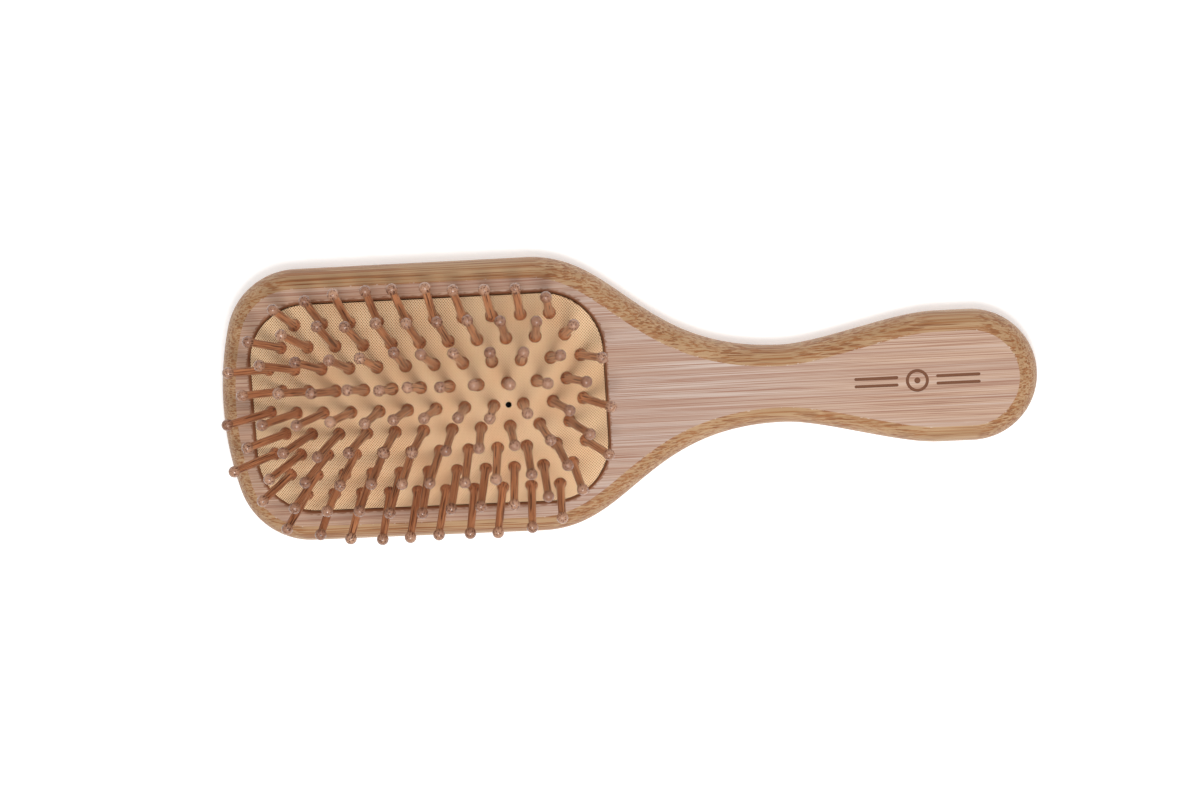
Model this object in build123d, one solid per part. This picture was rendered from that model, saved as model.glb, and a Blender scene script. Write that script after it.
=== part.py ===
from build123d import *
from math import asin, degrees, sqrt
import os

# Bamboo paddle brush: one bamboo board, a domed rubber cushion snapped into its pocket, and one
# hundred turned bamboo pins pushed through the cushion in nine staggered rows.
#
# Millimetres. +X runs from the head towards the handle, +Y across the head, +Z up through the pins.
# The origin is on the flat back face, under the middle of the cushion.

# Rows of pins
pins_in_row = (12, 11, 12, 11, 10)   # from the centre row to the outermost row
pin_pitch = 8.62            # along a row
row_pitch = 6.46            # from row to row

# Rubber cushion
cushion_end_margin = 6.38   # from the feet of the last pins to the edge of the rubber
cushion_side_margin = 5.76
cushion_corner_radius = 17.8
cushion_gap = 0.3           # all round, between the rubber and the pocket
dome_height = 12.3
dome_wall = 1.6
vent_hole_radius = 0.9
vent_pitches = 3            # from the middle, along the centre row

# Board, seen from above
head_end_border = 10.7      # from the pocket's wall to the edge of the board
head_side_border = 10.1
head_end_radius = 95.5
head_corner_radius = 22.5
shoulder_setback = 22.7     # the straight side ends this far short of the pocket's end
shoulder_length = 75.2      # from there to the narrowest part of the neck
shoulder_pull_short = 2.5   # a shoulder's pull is its drop from the head to the neck, less this
neck_pull = 42.5            # a pull is how far a curve runs straight on before it turns
neck_half_width = 11.7
swell_length = 46.0         # from the neck to the full width of the handle
swell_pull = 12.1
handle_pull = 12.5
handle_half_width = 19.75
handle_tip_length = 30.0    # from the full width to the tip

# Board, through its thickness
board_thickness = 14.0
edge_band = 0.2             # left upright between the two rounded edges
face_planing = 0.2          # taken off each face after the edges are rounded, so a crease is left

# Pocket for the cushion
pocket_depth = 6.5
pocket_mouth_chamfer = 0.6
groove_top_depth = 2.7      # below the face
groove_height = 1.8
groove_reach = 1.5          # into the wall of the pocket

# Engraved ornament on the handle
ornament_setback = 35.6     # from the tip of the handle to the middle of the ornament
ornament_ring_radius = 3.4
ornament_line_width = 0.9
ornament_bar_length = 13.0
ornament_bar_gap = 2.2
ornament_depth = 0.2

# Pins
ball_radius = 1.75
ball_height = 20.4          # from the rubber to the middle of the ball
shaft_radius = 1.25
shaft_top_radius = 1.15
collar_radius = 1.95
collar_straight = 0.45
collar_height = 2.6
neck_radius = 1.15
neck_clearance = 0.05
seat_clearance = 0.05
inner_head_radius = 2.3
inner_head_height = 1.0
inner_head_clearance = 0.15

# Values that follow from those
face_z = board_thickness
edge_round_radius = (board_thickness - edge_band) / 2 + face_planing
cushion_half_length = (max(pins_in_row) - 1) / 2 * pin_pitch + cushion_end_margin
cushion_half_width = (len(pins_in_row) - 1) * row_pitch + cushion_side_margin
pocket_half_length = cushion_half_length + cushion_gap
pocket_half_width = cushion_half_width + cushion_gap
pocket_corner_radius = cushion_corner_radius + cushion_gap
flange_reach = groove_reach
flange_top_z = face_z - groove_top_depth - cushion_gap
flange_height = groove_height - 2 * cushion_gap
head_end_x = -pocket_half_length - head_end_border
head_half_width = pocket_half_width + head_side_border
side_end_x = pocket_half_length - shoulder_setback
neck_x = side_end_x + shoulder_length
shoulder_pull = head_half_width - neck_half_width - shoulder_pull_short
swell_end_x = neck_x + swell_length
handle_end_x = swell_end_x + handle_tip_length
ornament_x = handle_end_x - ornament_setback


def rounded_slab(half_length, half_width, corner_radius, low_z, high_z):
    """An upright prism on a rounded rectangle about the cushion's middle."""
    outline = RectangleRounded(2 * half_length, 2 * half_width, corner_radius)
    return extrude(Pos(0, 0, low_z) * outline, high_z - low_z)


def between(low, high, share):
    return low + share * (high - low)


# ---------------------------------------------------------------- board

def board_outline():
    """Half the plan outline, from the middle of the head's end to the tip of the handle, mirrored."""
    end_angle = degrees(asin((head_half_width - head_corner_radius) / (head_end_radius - head_corner_radius)))
    end_arc = JernArc((head_end_x, 0), (0, 1), head_end_radius, -end_angle)
    corner_arc = JernArc(end_arc @ 1, end_arc % 1, head_corner_radius, end_angle - 90)
    side = Line(corner_arc @ 1, (side_end_x, head_half_width))
    shoulder = Bezier(
        (side_end_x, head_half_width),
        (side_end_x + shoulder_pull, head_half_width),
        (neck_x - neck_pull, neck_half_width),
        (neck_x, neck_half_width),
    )
    swell = Bezier(
        (neck_x, neck_half_width),
        (neck_x + swell_pull, neck_half_width),
        (swell_end_x - handle_pull, handle_half_width),
        (swell_end_x, handle_half_width),
    )
    handle_side = Line(swell @ 1, (handle_end_x - handle_half_width, handle_half_width))
    handle_arc = JernArc(handle_side @ 1, (1, 0), handle_half_width, -90)
    half = Curve() + [end_arc, corner_arc, side, shoulder, swell, handle_side, handle_arc]
    return make_face(half + mirror(half, Plane.XZ))


def ornament():
    """A plain ring between two pairs of thin bars, to be engraved on the handle."""
    inner_radius = ornament_ring_radius - ornament_line_width
    motif = Circle(ornament_ring_radius) - Circle(inner_radius)
    motif += Circle(ornament_line_width)
    bar_middle = ornament_ring_radius + ornament_bar_gap + ornament_bar_length / 2
    for side in (-1, 1):
        for offset in (-ornament_bar_gap / 2, ornament_bar_gap / 2):
            motif += Pos(side * bar_middle, offset) * SlotOverall(ornament_bar_length, ornament_line_width)
    return motif


def make_paddle_body():
    sawn = extrude(Pos(0, 0, -face_planing) * board_outline(), board_thickness + 2 * face_planing)
    rims = sawn.edges().group_by(Axis.Z)
    rounded = fillet(rims[0] + rims[-1], edge_round_radius)
    planed = rounded & Pos(0, 0, board_thickness / 2) * Box(1000, 1000, board_thickness)

    pocket = rounded_slab(pocket_half_length, pocket_half_width, pocket_corner_radius,
                          face_z - pocket_depth, face_z)
    groove_top_z = face_z - groove_top_depth
    groove = rounded_slab(pocket_half_length + groove_reach, pocket_half_width + groove_reach,
                          pocket_corner_radius + groove_reach, groove_top_z - groove_height, groove_top_z)
    body = planed - pocket
    mouth = body.faces().sort_by(Axis.Z)[-1].inner_wires()[0].edges()
    body = chamfer(mouth, pocket_mouth_chamfer) - groove
    return body - extrude(Pos(ornament_x, 0, face_z) * ornament(), -ornament_depth)


# -------------------------------------------------------------- cushion

def dome_point(x, y):
    """A point on the cushion's outer surface."""
    along = 1 - abs(x / cushion_half_length) ** 3
    across = 1 - (y / cushion_half_width) ** 2
    return Vector(x, y, face_z + dome_height * along * across)


def dome_normal(x, y):
    along = 1 - abs(x / cushion_half_length) ** 3
    across = 1 - (y / cushion_half_width) ** 2
    slope_x = -3 * dome_height * x * abs(x) / cushion_half_length ** 3 * across
    slope_y = -2 * dome_height * y / cushion_half_width ** 2 * along
    return Vector(-slope_x, -slope_y, 1).normalized()


def dome_sheet(depth):
    """The outer surface moved inwards by depth, reaching a little past the cushion's outline."""
    reach, steps_x, steps_y = 1.06, 30, 20
    grid = []
    for i in range(steps_x + 1):
        x = between(-reach, reach, i / steps_x) * cushion_half_length
        column = []
        for j in range(steps_y + 1):
            y = between(-reach, reach, j / steps_y) * cushion_half_width
            column.append(dome_point(x, y) - dome_normal(x, y) * depth)
        grid.append(column)
    return Face.make_surface_from_array_of_points(grid, tol=0.004)


def under_dome(depth, inset, low_z):
    """Everything inside the cushion's outline, set in by inset, between low_z and the dome sheet."""
    below = Solid.extrude(dome_sheet(depth), Vector(0, 0, -3 * dome_height))
    slab = rounded_slab(cushion_half_length - inset, cushion_half_width - inset,
                        cushion_corner_radius - inset, low_z, face_z + 2 * dome_height)
    return slab & below


def make_cushion(places):
    flange_low_z = flange_top_z - flange_height
    outer = under_dome(0, 0, flange_low_z)
    flange = rounded_slab(cushion_half_length + flange_reach, cushion_half_width + flange_reach,
                          cushion_corner_radius + flange_reach, flange_low_z, flange_top_z)
    inner = under_dome(dome_wall, dome_wall, flange_low_z - 1)
    shell = outer + flange - inner
    drill = Pos(0, 0, -2 * dome_wall) * Cylinder(
        neck_radius + neck_clearance, 4 * dome_wall, align=(Align.CENTER, Align.CENTER, Align.MIN))
    holes = [Location(plane) * drill for plane in places]
    vent = Pos(vent_pitches * pin_pitch, 0, face_z) * Cylinder(
        vent_hole_radius, 2 * dome_height, align=(Align.CENTER, Align.CENTER, Align.MIN))
    return shell - holes - vent


# ----------------------------------------------------------------- pins

def pin_plane(row, column):
    """The plane of one pin: its origin on the rubber and its Z along the pin, square to the rubber."""
    x = column * pin_pitch
    y = row * row_pitch
    return Plane(origin=dome_point(x, y), z_dir=dome_normal(x, y))


def make_pin():
    """One turned pin: inner head, neck, flared collar, tapered shaft and ball tip."""
    head_top = -dome_wall - inner_head_clearance
    head_low = head_top - inner_head_height
    ball_joint = ball_height - sqrt(ball_radius ** 2 - shaft_top_radius ** 2)
    outline = Polyline(
        (0, head_low),
        (inner_head_radius, head_low),
        (inner_head_radius, head_top),
        (neck_radius, head_top),
        (neck_radius, seat_clearance),
        (collar_radius, seat_clearance),
        (collar_radius, collar_straight),
        (shaft_radius, collar_height),
        (shaft_top_radius, ball_joint),
    )
    ball = ThreePointArc((shaft_top_radius, ball_joint), (ball_radius, ball_height),
                         (0, ball_height + ball_radius))
    axis_line = Line((0, ball_height + ball_radius), (0, head_low))
    profile = make_face(Curve() + [outline, ball, axis_line])
    return revolve(Plane.XZ * profile, Axis.Z)


def row_groups():
    """Node name -> pin planes. Rows 1 to 9 run from +Y to -Y; each row is split by height."""
    groups = {}
    for row_number in range(1, 10):
        row = 5 - row_number
        count = pins_in_row[abs(row)]
        for index in range(count):
            column = index - (count - 1) / 2
            from_end = min(index, count - 1 - index)
            part = {0: "end", 1: "outer"}.get(from_end, "middle")
            groups.setdefault(f"row_{row_number}_{part}_pins", []).append(pin_plane(row, column))
    return groups


groups = row_groups()
places = [plane for planes in groups.values() for plane in planes]
pin = make_pin()

nodes = {"paddle_body": make_paddle_body(), "cushion": make_cushion(places)}
for name, planes in groups.items():
    nodes[name] = Compound([Location(plane) * pin for plane in planes])

os.makedirs("parts", exist_ok=True)
for name, shape in nodes.items():
    export_step(shape, f"parts/{name}.step")
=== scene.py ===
import math
import random

import bmesh
import bpy
from mathutils import Matrix, Vector
from mathutils.geometry import interpolate_bezier


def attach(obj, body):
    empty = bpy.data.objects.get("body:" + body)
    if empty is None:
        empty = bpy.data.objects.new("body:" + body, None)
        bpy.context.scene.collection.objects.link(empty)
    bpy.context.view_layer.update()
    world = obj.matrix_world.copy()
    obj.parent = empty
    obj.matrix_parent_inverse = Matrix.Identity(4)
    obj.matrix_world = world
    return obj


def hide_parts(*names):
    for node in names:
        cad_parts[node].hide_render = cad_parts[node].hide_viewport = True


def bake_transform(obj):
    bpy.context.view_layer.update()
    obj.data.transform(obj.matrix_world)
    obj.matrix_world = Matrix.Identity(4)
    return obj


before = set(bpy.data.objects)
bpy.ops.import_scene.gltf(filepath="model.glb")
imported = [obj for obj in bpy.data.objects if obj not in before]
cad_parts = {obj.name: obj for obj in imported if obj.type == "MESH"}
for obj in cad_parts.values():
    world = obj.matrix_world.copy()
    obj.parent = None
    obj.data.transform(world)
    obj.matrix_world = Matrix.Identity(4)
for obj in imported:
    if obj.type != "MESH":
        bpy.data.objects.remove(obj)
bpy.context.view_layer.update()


# ------------------------------------------------------------------ camera
# A long lens looks almost straight down on the brush as it lies on its back,
# from a little to the handle's side and a little behind its long edge.

camera_data = bpy.data.cameras.new("camera")
camera_data.lens = 77.73
camera_data.clip_end = 10
camera = bpy.data.objects.new("camera", camera_data)
bpy.context.scene.collection.objects.link(camera)
camera.rotation_mode = "ZYX"
camera.location = (0.13181, 0.11521, 0.780)
camera.rotation_euler = [math.radians(angle) for angle in (-8.664, 5.873, -2.63)]
bpy.context.scene.camera = camera


# ------------------------------------------------------------------- board
# One bamboo board, 14 mm thick: sawn to the outline, rounded over all round
# with a router, then planed flat on both faces, which leaves a fine crease.
# The pocket for the cushion is routed last, and its mouth is scorched brown.

MM = 0.001

board_thickness = 14.0 * MM
edge_band = 0.2 * MM            # flat left in the middle of the rounded edge
face_planing = 0.2 * MM         # planed off each face after the rounding
rounding_steps = 12
head_end = -64.79 * MM
head_half_width = 42.0 * MM
head_end_radius = 95.5 * MM
head_corner_radius = 22.5 * MM
side_end = 31.39 * MM           # where the straight side of the head turns into the shoulder
neck = 106.59 * MM
neck_half_width = 11.7 * MM
swell_end = 152.59 * MM
handle_half_width = 19.75 * MM
handle_end = 182.59 * MM
shoulder_pull, neck_pull = 27.8 * MM, 42.5 * MM
swell_pull, handle_pull = 12.1 * MM, 12.5 * MM

pocket_half_length = 54.09 * MM
pocket_half_width = 31.9 * MM
pocket_corner = 18.1 * MM
pocket_depth = 6.5 * MM
mouth_chamfer = 0.6 * MM
groove_top_depth = 2.7 * MM
groove_height = 1.8 * MM
groove_reach = 1.5 * MM

ornament_x = 146.99 * MM
ring_radius = 3.4 * MM
line_width = 0.9 * MM
bar_length = 13 * MM
bar_gap = 2.2 * MM
engraving_depth = 0.2 * MM


def arc(centre, radius, first, last, steps):
    """Points on an arc, in degrees from +X, without its last point."""
    angles = [math.radians(first + (last - first) * i / steps) for i in range(steps)]
    return [Vector((centre[0] + radius * math.cos(a), centre[1] + radius * math.sin(a), 0))
            for a in angles]


def curve(start, start_pull, end, end_pull, steps):
    """Points on a curve that leaves start and reaches end along X, without its last point."""
    a, d = Vector((*start, 0)), Vector((*end, 0))
    b, c = a + Vector((start_pull, 0, 0)), d - Vector((end_pull, 0, 0))
    return interpolate_bezier(a, b, c, d, steps + 1)[:-1]


def straight(start, end, steps):
    """Points on a straight edge, without its last point."""
    return [Vector((*start, 0)).lerp(Vector((*end, 0)), i / steps) for i in range(steps)]


def board_outline():
    """The outline of the +Y half from the head's end to the tip, then the same points mirrored."""
    end_centre_x = head_end + head_end_radius
    reach = head_end_radius - head_corner_radius
    turn = math.asin((head_half_width - head_corner_radius) / reach)
    corner_centre = (end_centre_x - reach * math.cos(turn), reach * math.sin(turn))
    turn = math.degrees(turn)
    tip_centre_x = handle_end - handle_half_width
    half = arc((end_centre_x, 0), head_end_radius, 180, 180 - turn, 12)
    half += arc(corner_centre, head_corner_radius, 180 - turn, 90, 22)
    half += straight((corner_centre[0], head_half_width), (side_end, head_half_width), 24)
    half += curve((side_end, head_half_width), shoulder_pull, (neck, neck_half_width), neck_pull, 48)
    half += curve((neck, neck_half_width), swell_pull, (swell_end, handle_half_width), handle_pull, 26)
    half += straight((swell_end, handle_half_width), (tip_centre_x, handle_half_width), 6)
    half += arc((tip_centre_x, 0), handle_half_width, 90, 0, 28)
    tip = Vector((handle_end, 0, 0))
    return half + [tip] + [Vector((p.x, -p.y, 0)) for p in reversed(half[1:])]


def outer_edges(bm, z):
    """The open edges that lie at height z."""
    return [e for e in bm.edges if e.is_boundary and all(abs(v.co.z - z) < 1e-6 for v in e.verts)]


def edges_at(verts):
    """The edges at some vertices, each once, in an order that is the same in every run."""
    return list(dict.fromkeys(e for v in verts for e in v.link_edges))


def give_slot(made, slot):
    """Gives the faces among the new elements a material slot."""
    for f in made:
        if isinstance(f, bmesh.types.BMFace):
            f.material_index = slot


def fill(bm, edges, slot):
    """Fills what the loops enclose with flat faces."""
    give_slot(bmesh.ops.triangle_fill(bm, edges=edges, use_beauty=True)["geom"], slot)


def pull_out(bm, edges, slot):
    """Extrudes a loop of edges in place, with a wall of that material slot; returns the new
    vertices and the new loop."""
    made = bmesh.ops.extrude_edge_only(bm, edges=edges)["geom"]
    verts = [g for g in made if isinstance(g, bmesh.types.BMVert)]
    give_slot(made, slot)
    inside = set(verts)
    return verts, [g for g in made if isinstance(g, bmesh.types.BMEdge) and inside.issuperset(g.verts)]


def sink(bm, edges, depth, slot):
    """Extrudes a loop straight down; returns the new loop."""
    verts, loop = pull_out(bm, edges, slot)
    bmesh.ops.translate(bm, verts=verts, vec=(0, 0, -depth))
    return loop


def core_point(place, half_length, half_width, radius):
    """The nearest point to a place on the rectangle that the centres of the rounded corners make."""
    return Vector((max(radius - half_length, min(half_length - radius, place.x)),
                   max(radius - half_width, min(half_width - radius, place.y)), place.z))


def next_loop(bm, edges, sizes, out, z, slot):
    """Extrudes a loop to height z, moved outwards from the rounded rectangle of those sizes."""
    verts, loop = pull_out(bm, edges, slot)
    for v in verts:
        v.co += (v.co - core_point(v.co, *sizes)).normalized() * out
        v.co.z = z
    return loop


def rounded_loop(bm, half_length, half_width, radius, z, corner_steps=18, side_cuts=19):
    """A closed loop of edges round a rectangle with rounded corners, and no face in it."""
    made = bmesh.ops.create_grid(bm, x_segments=1, y_segments=1, size=1)
    for v in made["verts"]:
        v.co = Vector((v.co.x * half_length, v.co.y * half_width, z))
    rounded = bmesh.ops.bevel(bm, geom=made["verts"], offset=radius, offset_type="OFFSET",
                              affect="VERTICES", segments=corner_steps, profile=0.5, material=-1)
    middle = max((f for v in rounded["verts"] for f in v.link_faces), key=lambda f: f.calc_area())
    edges = list(middle.edges)
    bmesh.ops.delete(bm, geom=[middle], context="FACES_ONLY")
    sides = [e for e in edges if e.calc_length() > radius]
    cut = bmesh.ops.subdivide_edges(bm, edges=sides, cuts=side_cuts)["geom_split"]
    return [e for e in dict.fromkeys(edges + cut) if e.is_valid and isinstance(e, bmesh.types.BMEdge)]


def bar_loop(bm, centre, half_length, half_width, z):
    """A small closed loop: a bar with round ends, or a circle when both sizes are equal."""
    is_bar = half_length > half_width
    made = bmesh.ops.create_circle(bm, segments=24 if is_bar else 48, radius=half_width)
    for v in made["verts"]:
        v.co.x += math.copysign(half_length - half_width, v.co.x) if is_bar else 0
        v.co += Vector((*centre, z))
    return edges_at(made["verts"])


PLANED, ROUTED, SCORCHED, ENGRAVED = range(4)


def make_board():
    """The rounded board with its faces planed, then the pocket and the engraving cut into the top."""
    bm = bmesh.new()
    slab = bm.faces.new([bm.verts.new(p - Vector((0, 0, face_planing))) for p in board_outline()])
    raised = bmesh.ops.extrude_face_region(bm, geom=[slab])["geom"]
    bmesh.ops.translate(bm, verts=[g for g in raised if isinstance(g, bmesh.types.BMVert)],
                        vec=(0, 0, board_thickness + 2 * face_planing))
    rims = [e for e in bm.edges if abs(e.verts[0].co.z - e.verts[1].co.z) < 1e-6]
    bmesh.ops.bevel(bm, geom=rims, offset=(board_thickness - edge_band) / 2 + face_planing,
                    offset_type="OFFSET", affect="EDGES", segments=rounding_steps, profile=0.5, material=-1,
                    clamp_overlap=False)
    bmesh.ops.recalc_face_normals(bm, faces=bm.faces)
    for f in bm.faces:
        f.material_index = ROUTED
    for z, up in ((board_thickness, 1), (0, -1)):
        everything = list(bm.verts) + list(bm.edges) + list(bm.faces)
        bmesh.ops.bisect_plane(bm, geom=everything, plane_co=(0, 0, z), plane_no=(0, 0, up),
                               clear_outer=True)
    fill(bm, outer_edges(bm, 0), PLANED)

    top = board_thickness
    crease = outer_edges(bm, top)
    pocket = (pocket_half_length, pocket_half_width, pocket_corner)
    mouth = rounded_loop(bm, *(size + mouth_chamfer for size in pocket), top)
    groove_floor_depth = groove_top_depth + groove_height
    loop = mouth
    for out, depth in ((-mouth_chamfer, mouth_chamfer),
                       (0, groove_top_depth), (groove_reach, groove_top_depth),
                       (0, groove_floor_depth), (-groove_reach, groove_floor_depth),
                       (0, pocket_depth)):
        loop = next_loop(bm, loop, pocket, out, top - depth, SCORCHED)
    fill(bm, loop, SCORCHED)

    bar_middle = bar_length / 2 + ring_radius + bar_gap
    bars = [bar_loop(bm, (ornament_x + side * bar_middle, row * bar_gap / 2),
                     bar_length / 2, line_width / 2, top)
            for side in (-1, 1) for row in (-1, 1)]
    ring_out, ring_in, dot = (bar_loop(bm, (ornament_x, 0), radius, radius, top)
                              for radius in (ring_radius, ring_radius - line_width, line_width))
    fill(bm, crease + mouth + ring_out + [e for bar in bars for e in bar], PLANED)
    fill(bm, ring_in + dot, PLANED)
    sunk_ring = [sink(bm, ring, engraving_depth, ENGRAVED) for ring in (ring_out, ring_in)]
    fill(bm, sunk_ring[0] + sunk_ring[1], ENGRAVED)
    for cut in bars + [dot]:
        fill(bm, sink(bm, cut, engraving_depth, ENGRAVED), ENGRAVED)
    bmesh.ops.recalc_face_normals(bm, faces=bm.faces)
    return bm


def add(tree, kind, inputs=None, **settings):
    """A node with its settings, and its inputs either linked from another socket or set to a value."""
    node = tree.nodes.new(kind)
    for name, value in settings.items():
        setattr(node, name, value)
    for name, value in (inputs or {}).items():
        if isinstance(value, bpy.types.NodeSocket):
            tree.links.new(value, node.inputs[name])
        else:
            node.inputs[name].default_value = value
    return node


def math_node(tree, operation, *values):
    """Arithmetic on numbers, or on sockets that give them."""
    return add(tree, "ShaderNodeMath", dict(enumerate(values)), operation=operation).outputs[0]


def vector_node(tree, operation, *values):
    """The same for places and directions."""
    return add(tree, "ShaderNodeVectorMath", dict(enumerate(values)), operation=operation).outputs[0]


def blend_colour(tree, share, first, second):
    """Mixes two colours and gives the result's socket."""
    return add(tree, "ShaderNodeMix", {0: share, 6: first, 7: second}, data_type="RGBA").outputs[2]


def ramp(tree, value, low, high, start=0.0, end=1.0):
    """A soft step: start where the value is low, end where it is high."""
    limits = {"Value": value, "From Min": low, "From Max": high, "To Min": start, "To Max": end}
    return add(tree, "ShaderNodeMapRange", limits, interpolation_type="SMOOTHSTEP").outputs["Result"]


def noise(tree, place, scale=1.0, **settings):
    """Soft random patches. Detail and Roughness can be given by name."""
    return add(tree, "ShaderNodeTexNoise", {"Vector": place, "Scale": scale, **settings}).outputs["Fac"]


def paint(red, green, blue):
    """A colour from 0 to 255 a channel, as light."""
    return tuple(((c / 255 + 0.055) / 1.055) ** 2.4 for c in (red, green, blue)) + (1,)


def group_tree(name, inputs, outputs):
    """A new shader node group with named float, vector or colour sockets."""
    tree = bpy.data.node_groups.new(name, "ShaderNodeTree")
    for socket, kind in inputs.items():
        tree.interface.new_socket(socket, in_out="INPUT", socket_type="NodeSocket" + kind)
    for socket, kind in outputs.items():
        tree.interface.new_socket(socket, in_out="OUTPUT", socket_type="NodeSocket" + kind)
    return tree, tree.nodes.new("NodeGroupInput").outputs, tree.nodes.new("NodeGroupOutput").inputs


def make_bamboo_fibre():
    """Bamboo's fibre bundles. Place is in millimetres with the fibres along X: a face along the
    fibres shows streaks, and a face across them shows the bundles' ends as dots."""
    tree, given, result = group_tree(
        "bamboo_fibre", {"Place": "Vector", "Bundle": "Float", "Length": "Float"},
        {"Bundles": "Float", "Bands": "Float", "Threads": "Float"})
    xyz = add(tree, "ShaderNodeSeparateXYZ", {"Vector": given["Place"]}).outputs

    def stretched(long_share, size_share):
        along = math_node(tree, "DIVIDE", xyz["X"], math_node(tree, "MULTIPLY", given["Length"], long_share))
        size = math_node(tree, "MULTIPLY", given["Bundle"], size_share)
        across = [math_node(tree, "DIVIDE", xyz[axis], size) for axis in "YZ"]
        return add(tree, "ShaderNodeCombineXYZ", {"X": along, "Y": across[0], "Z": across[1]}).outputs[0]

    cells = add(tree, "ShaderNodeTexVoronoi",
                {"Vector": stretched(1, 1), "Scale": 1.0, "Randomness": 0.85}).outputs
    chance = add(tree, "ShaderNodeSeparateColor", {"Color": cells["Color"]}).outputs["Red"]
    spot = ramp(tree, cells["Distance"], 0.26, 0.46, 1, 0)
    heart = ramp(tree, cells["Distance"], 0.06, 0.26, 0.45, 1)
    spot = math_node(tree, "MULTIPLY", spot, heart)
    tree.links.new(math_node(tree, "MULTIPLY", spot, ramp(tree, chance, 0.05, 0.7)), result["Bundles"])
    tree.links.new(noise(tree, stretched(2.5, 4), Detail=2.0), result["Bands"])
    tree.links.new(noise(tree, stretched(1.5, 0.6), Detail=3.0, Roughness=0.65), result["Threads"])
    return tree


bamboo_fibre = make_bamboo_fibre()


def fibre(tree, place, bundle, length):
    """The fibre group, for bundles of a thickness and length in millimetres."""
    return add(tree, "ShaderNodeGroup", {"Place": place, "Bundle": bundle, "Length": length},
               node_tree=bamboo_fibre).outputs


def new_material(name, **settings):
    """A material and its tree, with the Principled shader's plain sockets set."""
    material = bpy.data.materials.new(name)
    material.use_nodes = True
    shader = material.node_tree.nodes["Principled BSDF"]
    for socket, value in settings.items():
        shader.inputs[socket.replace("_", " ")].default_value = value
    return material, material.node_tree, shader.inputs


def board_place(tree):
    """The place on the board in millimetres, from its own coordinates."""
    return vector_node(tree, "MULTIPLY", add(tree, "ShaderNodeTexCoord").outputs["Object"], (1 / MM,) * 3)


def bump(tree, height, distance, strength, surface):
    """Fine relief, too small to be in the mesh, raised by a height of 0 to 1 times the distance."""
    node = add(tree, "ShaderNodeBump", {"Height": height, "Distance": distance, "Strength": strength})
    tree.links.new(node.outputs["Normal"], surface["Normal"])


def past_pocket(tree, place):
    """How far a place is outside the pocket's wall, in millimetres."""
    any_height = 1000           # so that only the distance in plan counts
    core = ((pocket_half_length - pocket_corner) / MM, (pocket_half_width - pocket_corner) / MM, any_height)
    over = vector_node(tree, "SUBTRACT", vector_node(tree, "ABSOLUTE", place), core)
    over = vector_node(tree, "MAXIMUM", over, (0, 0, 0))
    reach = add(tree, "ShaderNodeVectorMath", {0: over}, operation="LENGTH").outputs["Value"]
    return math_node(tree, "SUBTRACT", reach, pocket_corner / MM)


def planed_bamboo():
    """The sanded faces: fine straight lines, greyer at the neck and warmer towards both ends. The pale
    pinkish base is partly the face grain's own colour and partly painted sheen of the lacquered face, and the
    warmer tone near the head is partly painted shade of the pins and partly the board's own layers. The hot
    cutter has browned a ragged line round the pocket, on the top face only."""
    material, tree, surface = new_material("planed_bamboo", IOR=1.45)
    place = board_place(tree)
    grain = fibre(tree, place, 0.52, 42.0)
    xyz = add(tree, "ShaderNodeSeparateXYZ", {"Vector": place}).outputs
    greyest = 72                # place along the board, in millimetres
    from_neck = math_node(tree, "ABSOLUTE", math_node(tree, "SUBTRACT", xyz["X"], greyest))
    warm = noise(tree, vector_node(tree, "DIVIDE", place, (60, 9, 9)))
    # Partly painted light: the pale pinkish base holds painted sheen of the lacquered face, and the warm tint
    # towards the head holds painted shade of the pins as well as the board's own layers.
    colour = blend_colour(tree, ramp(tree, from_neck, 12, 75), paint(190, 166, 152), paint(192, 156, 130))
    for share, tint in (
            (ramp(tree, warm, 0.42, 0.66, 0.0, 0.7), paint(186, 148, 118)),
            (ramp(tree, grain["Bands"], 0.4, 0.66, 0.0, 0.8), paint(172, 134, 112)),
            (ramp(tree, grain["Threads"], 0.5, 0.62), paint(158, 112, 88)),
            (ramp(tree, grain["Threads"], 0.5, 0.34, 0.0, 0.5), paint(206, 184, 168)),
            (math_node(tree, "MULTIPLY", grain["Bundles"], 0.3), paint(146, 104, 82))):
        colour = blend_colour(tree, share, colour, tint)
    ragged = noise(tree, vector_node(tree, "DIVIDE", place, (2, 0.7, 0.7)))
    bleed = math_node(tree, "SUBTRACT", past_pocket(tree, place), ramp(tree, ragged, 0.35, 0.7, 0.0, 0.6))
    scorch = ramp(tree, bleed, 0.5, 0.95, 0.85, 0.0)
    on_top = math_node(tree, "GREATER_THAN", xyz["Z"], board_thickness / MM / 2)
    colour = blend_colour(tree, math_node(tree, "MULTIPLY", scorch, on_top), colour, paint(136, 86, 54))
    tree.links.new(colour, surface["Base Color"])
    tree.links.new(ramp(tree, grain["Threads"], 0.3, 0.7, 0.45, 0.6), surface["Roughness"])
    bump(tree, grain["Threads"], 0.06 * MM, 0.4, surface)
    return material


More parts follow.
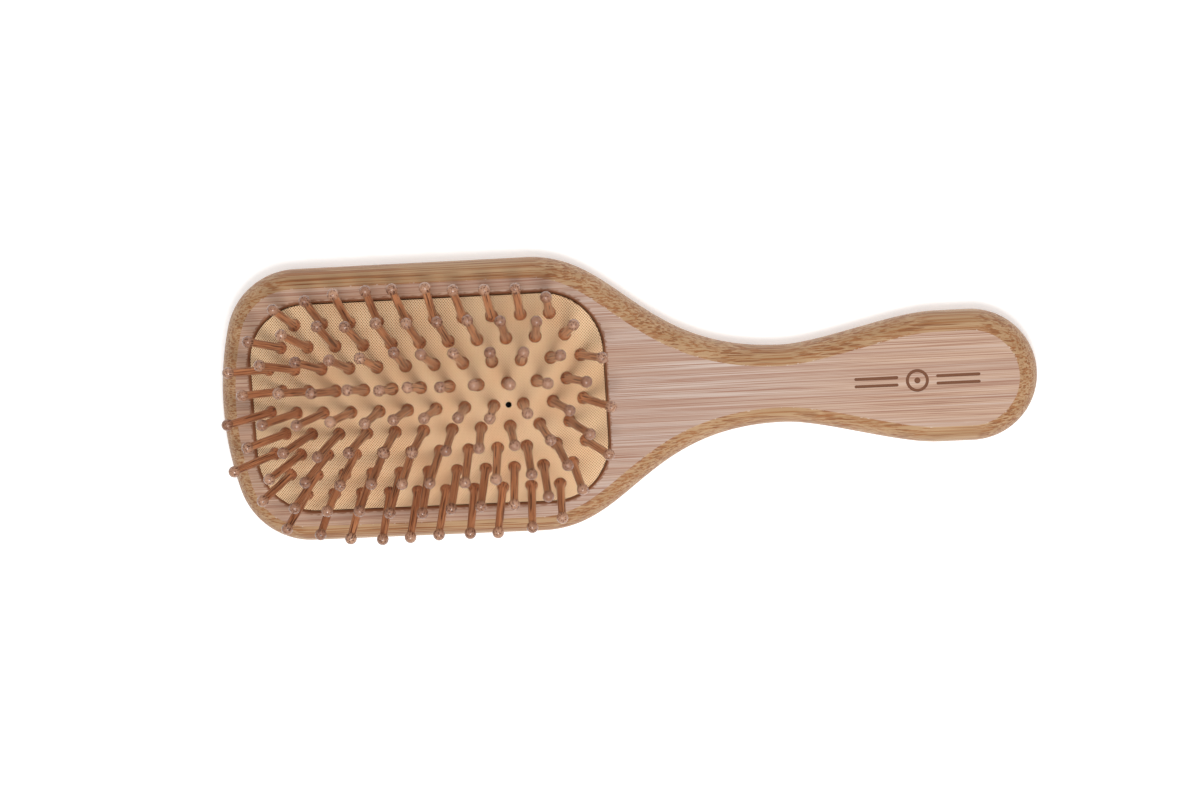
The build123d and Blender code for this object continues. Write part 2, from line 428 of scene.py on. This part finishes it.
def routed_bamboo():
    """The rounded edges: golden, with brown streaks where they run along the grain and dots where
    they cut across it, and a few pale flecks torn out along the crease."""
    material, tree, surface = new_material("routed_bamboo", IOR=1.45)
    place = board_place(tree)
    grain = fibre(tree, place, 0.66, 26.0)
    long_grain = fibre(tree, place, 0.8, 70.0)
    height = add(tree, "ShaderNodeSeparateXYZ", {"Vector": place}).outputs["Z"]
    torn = noise(tree, place, 0.9, Detail=4.0)
    crease = board_thickness / MM
    flecks = math_node(tree, "MULTIPLY", ramp(tree, height, crease - 0.1, crease - 0.02),
                       ramp(tree, torn, 0.58, 0.68))
    colour = blend_colour(tree, ramp(tree, grain["Bands"], 0.35, 0.65),
                          paint(190, 154, 116), paint(177, 139, 100))
    for share, tint in (
            (ramp(tree, long_grain["Threads"], 0.49, 0.57, 0.0, 0.8), paint(156, 98, 52)),
            (math_node(tree, "MULTIPLY", long_grain["Bundles"], 0.6), paint(150, 86, 40)),
            (math_node(tree, "MULTIPLY", grain["Bundles"], 0.9), paint(134, 80, 42)),
            (math_node(tree, "MULTIPLY", flecks, 0.5), paint(222, 208, 194))):
        colour = blend_colour(tree, share, colour, tint)
    tree.links.new(colour, surface["Base Color"])
    tree.links.new(ramp(tree, long_grain["Threads"], 0.3, 0.7, 0.38, 0.52), surface["Roughness"])
    bump(tree, grain["Threads"], 0.08 * MM, 0.35, surface)
    return material


def burnt_bamboo(name, light, dark):
    """Bamboo browned by a hot cutter or a laser."""
    material, tree, surface = new_material(name, Roughness=0.75)
    grain = fibre(tree, board_place(tree), 0.4, 6.0)
    tree.links.new(blend_colour(tree, grain["Threads"], light, dark), surface["Base Color"])
    bump(tree, grain["Threads"], 0.1 * MM, 0.5, surface)
    return material


def new_piece(name, bm, materials, sharp_angle=30):
    """Makes the bmesh an object at the origin, smooth except at edges sharper than the angle."""
    mesh = bpy.data.meshes.new(name)
    bm.to_mesh(mesh)
    bm.free()
    for material in materials:
        mesh.materials.append(material)
    mesh.shade_smooth()
    mesh.set_sharp_from_angle(angle=math.radians(sharp_angle))
    piece = bpy.data.objects.new(name, mesh)
    bpy.context.scene.collection.objects.link(piece)
    return piece


board = new_piece("board", make_board(), [
    planed_bamboo(), routed_bamboo(),
    burnt_bamboo("scorched_mouth", paint(158, 102, 64), paint(104, 60, 36)),
    burnt_bamboo("engraved_bamboo", paint(134, 84, 52), paint(98, 56, 34)),
], sharp_angle=9)
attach(board, "paddle")
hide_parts("paddle_body")


# ----------------------------------------------------------------- cushion
# One moulding of soft rubber with a woven texture, domed like a pillow. Its skirt and flange
# snap into the groove of the pocket, and a small vent lets the air out as it is pressed.

face = board_thickness          # the level of the board's front face
cushion_half_length = 53.79 * MM
cushion_half_width = 31.6 * MM
cushion_corner = 17.8 * MM
dome_height = 12.3 * MM
flange_reach = 1.5 * MM
flange_top = face - 3.0 * MM
flange_height = 1.2 * MM
pin_pitch = 8.62 * MM
vent = Vector((3 * pin_pitch, 0, 0))        # between two pins of the middle row
vent_radius = 0.9 * MM
vent_depth = 6 * MM
vent_clearing = 2.4 * MM        # the sheet is cut open this far round the vent and filled to its rim


def dome_shares(x, y):
    """How much of the dome's height is left, along and across, from 1 in the middle to 0 at the edge."""
    return 1 - abs(x / cushion_half_length) ** 3, 1 - (y / cushion_half_width) ** 2


def dome_point(x, y):
    """The point of the dome over a place."""
    along, across = dome_shares(x, y)
    return Vector((x, y, face + dome_height * along * across))


def dome_normal(x, y):
    """The direction square to the dome there."""
    along, across = dome_shares(x, y)
    slope_x = 3 * dome_height * x * abs(x) / cushion_half_length ** 3 * across
    slope_y = 2 * dome_height * y / cushion_half_width ** 2 * along
    return Vector((slope_x, slope_y, 1)).normalized()


RUBBER, VENT_SHADE = range(2)


def make_cushion():
    """A closed pad: a domed sheet, with its skirt, flange and underside, and a blind vent hole."""
    outline = (cushion_half_length, cushion_half_width, cushion_corner)
    bm = bmesh.new()
    bmesh.ops.create_grid(bm, x_segments=92, y_segments=54, size=1)
    for v in bm.verts:
        share = max(abs(v.co.x), abs(v.co.y), 1e-9)
        v.co = Vector((v.co.x / share * cushion_half_length, v.co.y / share * cushion_half_width, 0))
        core = core_point(v.co, *outline)
        over = v.co - core
        if over.length > cushion_corner:
            v.co = core + over.normalized() * cushion_corner
        v.co *= share
    rim = [e for e in bm.edges if e.is_boundary]
    near = [f for f in bm.faces if (f.calc_center_median() - vent).length < vent_clearing]
    bmesh.ops.delete(bm, geom=near, context="FACES")
    opening = [e for e in bm.edges if e.is_boundary and e not in rim]
    ring = bmesh.ops.create_circle(bm, segments=28, radius=vent_radius)["verts"]
    bmesh.ops.translate(bm, verts=ring, vec=vent)
    ring = edges_at(ring)
    fill(bm, opening + ring, RUBBER)
    for v in bm.verts:
        v.co = dome_point(v.co.x, v.co.y)
    bmesh.ops.recalc_face_normals(bm, faces=bm.faces)
    # Painted shade: the vent's walls and bottom take a near-black slot for the shade deep in the narrow hole.
    fill(bm, sink(bm, ring, vent_depth, VENT_SHADE), VENT_SHADE)

    loop = rim
    for out, z in ((0, flange_top), (flange_reach, flange_top), (0, flange_top - flange_height)):
        loop = next_loop(bm, loop, outline, out, z, RUBBER)
    fill(bm, loop, RUBBER)
    bmesh.ops.recalc_face_normals(bm, faces=bm.faces)
    return bm


def make_moulded_weave():
    """Small staggered dimples in rows, like the back of a cloth. Place is in millimetres."""
    tree, given, result = group_tree(
        "moulded_weave", {"Place": "Vector", "Along": "Float", "Across": "Float"}, {"Dimples": "Float"})
    xyz = add(tree, "ShaderNodeSeparateXYZ", {"Vector": given["Place"]}).outputs
    waves = []
    for axis, pitch in (("X", "Along"), ("Y", "Across")):
        turns = math_node(tree, "DIVIDE", xyz[axis], given[pitch])
        waves.append(math_node(tree, "COSINE", math_node(tree, "MULTIPLY", turns, 2 * math.pi)))
    tree.links.new(ramp(tree, math_node(tree, "MULTIPLY", *waves), 0.05, 0.7), result["Dimples"])
    return tree


def textured_rubber():
    """Warm beige rubber with the weave of the mould, a little browner in patches, and painted shade in its
    dimples.
    """
    material, tree, surface = new_material("textured_rubber", Roughness=0.62, IOR=1.5)
    place = board_place(tree)
    dimples = add(tree, "ShaderNodeGroup", {"Place": place, "Along": 0.8, "Across": 0.88},
                  node_tree=make_moulded_weave()).outputs["Dimples"]
    cloud = noise(tree, place, 0.08, Detail=3.0)
    colour = blend_colour(tree, ramp(tree, cloud, 0.35, 0.7), paint(255, 216, 170), paint(250, 204, 156))
    # Painted shade: the sunken dimples of the weave are coloured dark brown for the shade that falls in them.
    colour = blend_colour(tree, dimples, colour, paint(158, 104, 66))
    tree.links.new(colour, surface["Base Color"])
    bump(tree, math_node(tree, "SUBTRACT", 1.0, dimples), 0.3 * MM, 0.9, surface)
    return material


# Painted shade: near-black for the shade inside the vent hole, though the rubber there is the same beige as
# outside.
vent_shade = new_material("vent_painted_shade", Base_Color=(0.004, 0.003, 0.002, 1), Roughness=0.9)[0]
cushion = new_piece("cushion_dome", make_cushion(), [textured_rubber(), vent_shade], sharp_angle=50)
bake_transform(cushion)
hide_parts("cushion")


# -------------------------------------------------------------------- pins
# A hundred turned bamboo pins in nine staggered rows. Each is pushed through the rubber from
# behind until its inner head seats, and stands square to the rubber on a flared collar.

row_pitch = 6.46 * MM
middle_row = 5
pins_in_row = (12, 11, 12, 11, 10)          # from the middle row outwards
ball_radius = 1.75 * MM
ball_height = 20.4 * MM
ball_joint = -48.9              # degrees from the ball's middle down to where the shaft meets it
ball_steps = 12
sides_of_pin = 20
# Radius and height in millimetres: through the rubber, the flared collar, and the shaft.
neck_profile = [(0, -1.2), (1.15, -1.2), (1.15, 0.03)]
foot_profile = [(1.91, 0.03), (1.97, 0.12), (1.97, 0.45), (1.92, 0.75), (1.8, 1.02), (1.62, 1.28),
                (1.46, 1.6), (1.35, 2.05), (1.29, 2.6), (1.26, 3.6)]
shaft_profile = [(1.24, 6), (1.22, 10), (1.18, 15)]
most_lean = 2.0                 # degrees that a real pin stands off square
most_turn = 6                   # radians that it may be turned about itself, nearly all the way round


def pin_feet():
    """Every pin's row number, place in its row from the nearer end, foot and direction."""
    for row_number in range(1, 2 * middle_row):
        row = middle_row - row_number
        count = pins_in_row[abs(row)]
        for index in range(count):
            x, y = (index - (count - 1) / 2) * pin_pitch, row * row_pitch
            yield row_number, min(index, count - 1 - index), dome_point(x, y), dome_normal(x, y)


def pin_pattern():
    """One pin, turned about Z, with its foot at the origin."""
    bm = bmesh.new()
    points = [Vector((r * MM, 0, z * MM)) for r, z in neck_profile + foot_profile + shaft_profile]
    for step in range(ball_steps + 1):
        angle = math.radians(ball_joint + (90 - ball_joint) * step / ball_steps)
        points.append(Vector((ball_radius * math.cos(angle), 0, ball_height + ball_radius * math.sin(angle))))
    verts = [bm.verts.new(p) for p in points]
    edges = [bm.edges.new(pair) for pair in zip(verts, verts[1:])]
    bmesh.ops.spin(bm, geom=verts + edges, cent=(0, 0, 0), axis=(0, 0, 1), angle=2 * math.pi,
                   steps=sides_of_pin, use_merge=True)
    bmesh.ops.remove_doubles(bm, verts=bm.verts, dist=1e-6)
    bmesh.ops.recalc_face_normals(bm, faces=bm.faces)
    mesh = bpy.data.meshes.new("pin_pattern")
    bm.to_mesh(mesh)
    bm.free()
    return mesh


def turned_bamboo():
    """Darkened, polished bamboo: fibres run along the pin, so their ends show as pores on the ball.
    Pin_place is the place on the pin in millimetres, and pin_tone is the pin's own shade."""
    material, tree, surface = new_material("turned_bamboo", IOR=1.4, Coat_Weight=0.6, Coat_Roughness=0.11)
    place = add(tree, "ShaderNodeAttribute", attribute_name="pin_place").outputs["Vector"]
    tone = add(tree, "ShaderNodeAttribute", attribute_name="pin_tone").outputs["Fac"]
    xyz = add(tree, "ShaderNodeSeparateXYZ", {"Vector": place}).outputs
    shift = math_node(tree, "MULTIPLY", tone, 300.0)
    along, across = math_node(tree, "ADD", xyz["Z"], shift), math_node(tree, "ADD", xyz["X"], shift)
    turned = add(tree, "ShaderNodeCombineXYZ", {"X": along, "Y": across, "Z": xyz["Y"]}).outputs[0]
    grain = fibre(tree, turned, 0.62, 14.0)
    ball = ramp(tree, xyz["Z"], ball_height / MM - 1.8, ball_height / MM)
    foot = ramp(tree, xyz["Z"], 0.2, 3.6, 1, 0)
    ball_colour = blend_colour(tree, tone, paint(186, 146, 120), paint(146, 106, 84))
    colour = blend_colour(tree, tone, paint(220, 152, 106), paint(186, 124, 86))
    for share, tint in (
            (ramp(tree, grain["Bands"], 0.4, 0.65), paint(170, 108, 72)),
            (math_node(tree, "MULTIPLY", ball, 0.8), ball_colour),
            (math_node(tree, "MULTIPLY", foot, 0.5), paint(144, 82, 50)),
            (ramp(tree, grain["Threads"], 0.5, 0.62, 0.0, 0.8), paint(112, 60, 36)),
            (math_node(tree, "MULTIPLY", grain["Bundles"], 0.9), paint(76, 42, 26))):
        colour = blend_colour(tree, share, colour, tint)
    tree.links.new(colour, surface["Base Color"])
    tree.links.new(ramp(tree, grain["Threads"], 0.3, 0.7, 0.42, 0.55), surface["Roughness"])
    bump(tree, grain["Threads"], 0.04 * MM, 0.4, surface)
    return material


pattern = pin_pattern()
pin_material = turned_bamboo()
random.seed(5)
groups = {}
for row_number, from_end, foot, direction in pin_feet():
    part = {0: "end", 1: "outer"}.get(from_end, "middle")
    groups.setdefault((row_number, part), []).append((foot, direction))
for (row_number, part), feet in groups.items():
    bm = bmesh.new()
    place = bm.verts.layers.float_vector.new("pin_place")
    tone = bm.verts.layers.float.new("pin_tone")
    for foot, direction in feet:
        before = len(bm.verts)
        bm.from_mesh(pattern)
        bm.verts.ensure_lookup_table()
        own_tone = random.random()
        for v in bm.verts[before:]:
            v[place] = v.co / MM
            v[tone] = own_tone
        about_x, about_y = (Matrix.Rotation(math.radians(random.uniform(-most_lean, most_lean)), 4, axis)
                            for axis in "XY")
        square = direction.to_track_quat("Z", "Y").to_matrix().to_4x4()
        turned = square @ Matrix.Rotation(random.uniform(0, most_turn), 4, "Z")
        stand = Matrix.Translation(foot) @ (about_x @ about_y) @ turned
        bmesh.ops.transform(bm, matrix=stand, verts=bm.verts[before:])
    piece = new_piece(f"pins_row_{row_number}_{part}", bm, [pin_material])
    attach(piece, f"row_{row_number}_{part}")
    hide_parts(f"row_{row_number}_{part}_pins")
bpy.data.meshes.remove(pattern)


# ------------------------------------------------------------ floor, light
# A plain pale floor just under the brush, a soft box overhead, the soft light of a room, and an
# even surround that is white where it is seen behind the floor.

bpy.ops.mesh.primitive_plane_add(size=6, location=(0, 0, -0.1 * MM))
floor = bpy.context.object
floor.name = "floor"
floor.data.materials.append(new_material(
    "floor_paper", Roughness=0.9, Base_Color=(0.94, 0.94, 0.94, 1),
    Emission_Color=(1, 1, 1, 1), Emission_Strength=0.36)[0])

surround_light = 0.46
surround_seen = 0.96
world = bpy.data.worlds.new("surround")
bpy.context.scene.world = world
world.use_nodes = True
surround = world.node_tree.nodes["Background"].inputs
surround["Color"].default_value = (1, 1, 1, 1)
seen = add(world.node_tree, "ShaderNodeLightPath").outputs["Is Camera Ray"]
strength = math_node(world.node_tree, "MULTIPLY_ADD", seen, surround_seen - surround_light, surround_light)
world.node_tree.links.new(strength, surround["Strength"])
lamps_aim = 0.03                # metres from the middle of the head towards the handle


def hang_light(name, kind, place, energy, **settings):
    """A lamp at a place, turned to the head of the brush."""
    lamp = bpy.data.lights.new(name, kind)
    lamp.energy = energy
    for setting, value in settings.items():
        setattr(lamp, setting, value)
    hung = bpy.data.objects.new(name, lamp)
    hung.location = place
    hung.rotation_mode = "QUATERNION"
    hung.rotation_quaternion = Vector((place[0] - lamps_aim, *place[1:])).to_track_quat("Z", "Y")
    bpy.context.scene.collection.objects.link(hung)


hang_light("overhead_box", "AREA", (0.13, -0.11, 0.62), 2.1, size=0.18)
hang_light("room_light", "SUN", (0.1, 0.1, 1.5), 0.4, angle=math.radians(60))
bpy.context.scene.view_settings.view_transform = "Standard"
